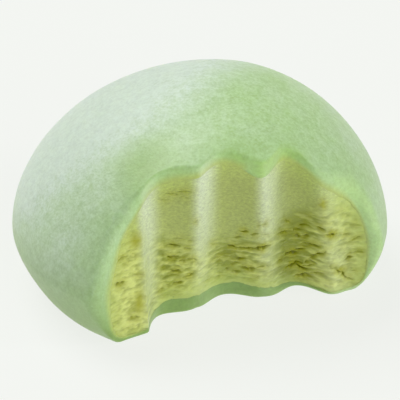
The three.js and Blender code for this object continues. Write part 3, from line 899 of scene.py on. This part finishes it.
# Painted light: the right end is paler next to the wrap, where light shines through the thin lip.
lit_through = add_node(
    tree,
    "MapRange",
    inputs={
        "Value": axes["X"], "From Min": 15 * MM, "From Max": 19 * MM, "To Min": 0.0, "To Max": 0.35,
    },
).outputs["Result"]
lit_through = add_node(tree, "Math", {"operation": "MULTIPLY"}, {0: lit_through, 1: by_wrap}).outputs[0]
# Torn ice cream between its painted shaded and painted lit colour
crumb_colour = add_node(
    tree, "Mix", {"data_type": "RGBA"}, {0: crumb_light, 6: linear(ICE_CREAM_CRUMB_SHADED), 7: linear(ICE_CREAM_CRUMB_LIT)}
).outputs[2]
colour = linear(ICE_CREAM_YELLOW)
FOAM_LAYERS = [
    (torn, crumb_colour),
    (by_wrap, linear(ICE_CREAM_BY_WRAP)),
    (lit_through, linear(ICE_CREAM_LIT_THROUGH)),
    (painted_sheen, linear(ICE_CREAM_PAINTED_SHEEN)),
    (halo_shade_and_olive, linear(ICE_CREAM_HALO_SHADE_AND_OLIVE)),
    (crack_shade, linear(ICE_CREAM_CRACK_SHADE)),
]
for share, layer in FOAM_LAYERS:
    colour = add_node(tree, "Mix", {"data_type": "RGBA"}, {0: share, 6: colour, 7: layer}).outputs[2]
colour = add_node(tree, "VectorMath", {"operation": "SCALE"}, {0: colour, "Scale": streaky}).outputs["Vector"]
bump_strength = add_node(
    tree, "MapRange", inputs={"Value": torn, "To Min": 0.35, "To Max": 0.22}
).outputs["Result"]
bump = add_node(
    tree, "Bump", inputs={"Height": crumb, "Strength": bump_strength, "Distance": 0.2 * MM}
).outputs["Normal"]
shader = add_node(
    tree,
    "BsdfPrincipled",
    inputs={
        "Base Color": colour,
        "Roughness": 0.35,
        "Normal": bump,
        "IOR": 1.45,
        "Subsurface Weight": 0.4,
        "Subsurface Scale": 0.8 * MM,
        "Subsurface Radius": (1.0, 1.0, 0.5),
    },
)
finish_material(tree, shader)
ice_cream.data.materials.clear()
ice_cream.data.materials.append(foam)


# ---------------------------------------------------------------------------------------------
# Studio: a plain pale floor, a large soft light from the upper left and behind, a small one low from
# the right that rakes across the bitten face, a wide weak one in front, and faint light all round.

FLOOR_SIZE = 6.0
FLOOR_GREY = "#5f605e" # what it takes of the sweet's shadow, under a glow that keeps it white
FLOOR_WHITE = "#f2f4f0"

floor_form = bmesh.new()
bmesh.ops.create_grid(floor_form, x_segments=1, y_segments=1, size=FLOOR_SIZE / 2)
floor = finish_mesh(floor_form, "floor")
paper, tree = new_material("white_paper")
diffuse = add_node(tree, "BsdfDiffuse", inputs={"Color": linear(FLOOR_GREY)}).outputs[0]
glow = add_node(tree, "Emission", inputs={"Color": linear(FLOOR_WHITE), "Strength": 0.895}).outputs[0]
finish_material(tree, add_node(tree, "AddShader", inputs={0: diffuse, 1: glow}))
floor.data.materials.append(paper)

world = bpy.data.worlds.new("studio")
world.use_nodes = True
world.node_tree.nodes["Background"].inputs["Color"].default_value = linear("#f4f8ff")
world.node_tree.nodes["Background"].inputs["Strength"].default_value = 0.04
bpy.context.scene.world = world


def soft_light(name, azimuth, elevation, distance, size, power):
    """A square soft box that looks at the middle of the sweet. Azimuth 0 is in front, 90 right."""
    light = bpy.data.lights.new(name, "AREA")
    light.shape = "SQUARE"
    light.size = size
    light.energy = power
    lamp = bpy.data.objects.new(name, light)
    turn, rise = radians(azimuth), radians(elevation)
    towards = Vector((sin(turn) * cos(rise), -cos(turn) * cos(rise), sin(rise)))
    lamp.matrix_world = (
        Matrix.Translation(towards * distance) @ towards.to_track_quat("Z", "Y").to_matrix().to_4x4()
    )
    bpy.context.scene.collection.objects.link(lamp)


soft_light("key_from_upper_left", azimuth=-135, elevation=55, distance=1.2, size=0.8, power=12)
soft_light("side_from_right", azimuth=80, elevation=25, distance=1.2, size=0.3, power=3.5)
soft_light("fill_from_front", azimuth=30, elevation=35, distance=1.2, size=1.0, power=5)

# The camera looks down at 31 degrees, from straight in front, with a long lens.
CAMERA_DISTANCE = 400 * MM
SENSOR_WIDTH = 36 # of the camera, and so in its own mm
CAMERA_ELEVATION = radians(31)
FRAME_WIDTH = 52.9 * MM
AIM = Vector((0.07, -0.71, 10.82)) * MM

camera_data = bpy.data.cameras.new("camera")
camera_data.sensor_width = SENSOR_WIDTH
camera_data.lens = SENSOR_WIDTH * CAMERA_DISTANCE / FRAME_WIDTH
camera = bpy.data.objects.new("camera", camera_data)
backwards = Vector((0, -cos(CAMERA_ELEVATION), sin(CAMERA_ELEVATION)))
camera.matrix_world = (
    Matrix.Translation(AIM + backwards * CAMERA_DISTANCE)
    @ backwards.to_track_quat("Z", "Y").to_matrix().to_4x4()
)
bpy.context.scene.collection.objects.link(camera)
bpy.context.scene.camera = camera
bpy.context.scene.view_settings.view_transform = "Standard"
